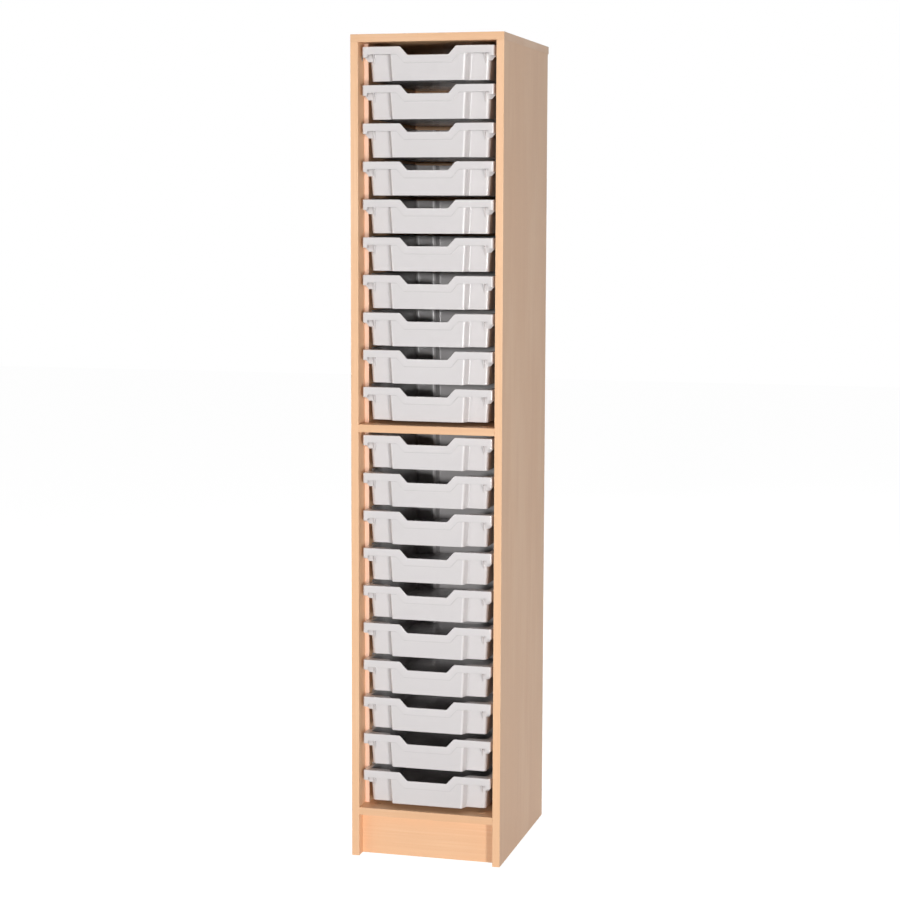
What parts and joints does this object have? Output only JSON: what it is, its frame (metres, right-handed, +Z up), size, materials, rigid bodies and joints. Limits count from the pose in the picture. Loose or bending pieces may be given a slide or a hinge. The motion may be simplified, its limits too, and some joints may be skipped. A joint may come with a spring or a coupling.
{
  "type": "classroom tray storage unit",
  "caption": "Tall narrow free-standing wooden storage unit with an open front, a fixed middle shelf and shallow plastic trays that slide out on side runners.",
  "frame": {"origin": "on the floor, at the middle of the width and of the overall depth", "axes": "+Z up; the open front faces -Y, so the trays slide out along -Y; +X to the right seen from the front"},
  "size_m": [0.362, 0.462, 1.927],
  "materials": {
    "board": "beech-faced board, satin melamine",
    "edging": "beech edge lipping, satin",
    "tray_plastic": "light grey moulded polypropylene, satin",
    "runner_plastic": "grey moulded plastic",
    "zinc": "die-cast zinc, plain",
    "steel": "zinc-plated steel",
    "white_plastic": "white moulded plastic",
    "cap_plastic": "moulded plastic in the colour of the board",
    "dowel": "beech dowel, raw"
  },
  "bodies": {
    "carcass": {"top_panel": "board", "left_side_panel": "board", "right_side_panel": "board", "mid_shelf": "board", "base_shelf": "board", "plinth": "board", "back_panel": "board", "top_edging": "edging", "left_side_edging": "edging", "right_side_edging": "edging", "mid_shelf_edging": "edging", "base_shelf_edging": "edging", "runner_board_edgings": "edging", "cam_discs": "zinc", "cam_bolts": "steel", "cam_caps": "cap_plastic", "dowels": "dowel", "plinth_corner_blocks": "white_plastic", "corner_block_screws": "steel", "back_panel_screws": "steel", "runner_board_screws": "steel", "left_lower_runner_board": "board", "left_lower_runners": "runner_plastic", "left_upper_runner_board": "board", "left_upper_runners": "runner_plastic", "right_lower_runner_board": "board", "right_lower_runners": "runner_plastic", "right_upper_runner_board": "board", "right_upper_runners": "runner_plastic"},
    "tray_01": {"tray_01": "tray_plastic"},
    "tray_02": {"tray_02": "tray_plastic"},
    "tray_03": {"tray_03": "tray_plastic"},
    "tray_04": {"tray_04": "tray_plastic"},
    "tray_05": {"tray_05": "tray_plastic"},
    "tray_06": {"tray_06": "tray_plastic"},
    "tray_07": {"tray_07": "tray_plastic"},
    "tray_08": {"tray_08": "tray_plastic"},
    "tray_09": {"tray_09": "tray_plastic"},
    "tray_10": {"tray_10": "tray_plastic"},
    "tray_11": {"tray_11": "tray_plastic"},
    "tray_12": {"tray_12": "tray_plastic"},
    "tray_13": {"tray_13": "tray_plastic"},
    "tray_14": {"tray_14": "tray_plastic"},
    "tray_15": {"tray_15": "tray_plastic"},
    "tray_16": {"tray_16": "tray_plastic"},
    "tray_17": {"tray_17": "tray_plastic"},
    "tray_18": {"tray_18": "tray_plastic"},
    "tray_19": {"tray_19": "tray_plastic"},
    "tray_20": {"tray_20": "tray_plastic"}
  },
  "joints": [
    {"name": "tray_01_slide", "type": "slide", "parent": "carcass", "child": "tray_01", "axis": [0, -1, 0], "range_m": [0, 0.34]},
    {"name": "tray_02_slide", "type": "slide", "parent": "carcass", "child": "tray_02", "axis": [0, -1, 0], "range_m": [0, 0.34]},
    {"name": "tray_03_slide", "type": "slide", "parent": "carcass", "child": "tray_03", "axis": [0, -1, 0], "range_m": [0, 0.34]},
    {"name": "tray_04_slide", "type": "slide", "parent": "carcass", "child": "tray_04", "axis": [0, -1, 0], "range_m": [0, 0.34]},
    {"name": "tray_05_slide", "type": "slide", "parent": "carcass", "child": "tray_05", "axis": [0, -1, 0], "range_m": [0, 0.34]},
    {"name": "tray_06_slide", "type": "slide", "parent": "carcass", "child": "tray_06", "axis": [0, -1, 0], "range_m": [0, 0.34]},
    {"name": "tray_07_slide", "type": "slide", "parent": "carcass", "child": "tray_07", "axis": [0, -1, 0], "range_m": [0, 0.34]},
    {"name": "tray_08_slide", "type": "slide", "parent": "carcass", "child": "tray_08", "axis": [0, -1, 0], "range_m": [0, 0.34]},
    {"name": "tray_09_slide", "type": "slide", "parent": "carcass", "child": "tray_09", "axis": [0, -1, 0], "range_m": [0, 0.34]},
    {"name": "tray_10_slide", "type": "slide", "parent": "carcass", "child": "tray_10", "axis": [0, -1, 0], "range_m": [0, 0.34]},
    {"name": "tray_11_slide", "type": "slide", "parent": "carcass", "child": "tray_11", "axis": [0, -1, 0], "range_m": [0, 0.34]},
    {"name": "tray_12_slide", "type": "slide", "parent": "carcass", "child": "tray_12", "axis": [0, -1, 0], "range_m": [0, 0.34]},
    {"name": "tray_13_slide", "type": "slide", "parent": "carcass", "child": "tray_13", "axis": [0, -1, 0], "range_m": [0, 0.34]},
    {"name": "tray_14_slide", "type": "slide", "parent": "carcass", "child": "tray_14", "axis": [0, -1, 0], "range_m": [0, 0.34]},
    {"name": "tray_15_slide", "type": "slide", "parent": "carcass", "child": "tray_15", "axis": [0, -1, 0], "range_m": [0, 0.34]},
    {"name": "tray_16_slide", "type": "slide", "parent": "carcass", "child": "tray_16", "axis": [0, -1, 0], "range_m": [0, 0.34]},
    {"name": "tray_17_slide", "type": "slide", "parent": "carcass", "child": "tray_17", "axis": [0, -1, 0], "range_m": [0, 0.34]},
    {"name": "tray_18_slide", "type": "slide", "parent": "carcass", "child": "tray_18", "axis": [0, -1, 0], "range_m": [0, 0.34]},
    {"name": "tray_19_slide", "type": "slide", "parent": "carcass", "child": "tray_19", "axis": [0, -1, 0], "range_m": [0, 0.34]},
    {"name": "tray_20_slide", "type": "slide", "parent": "carcass", "child": "tray_20", "axis": [0, -1, 0], "range_m": [0, 0.34]}
  ]
}
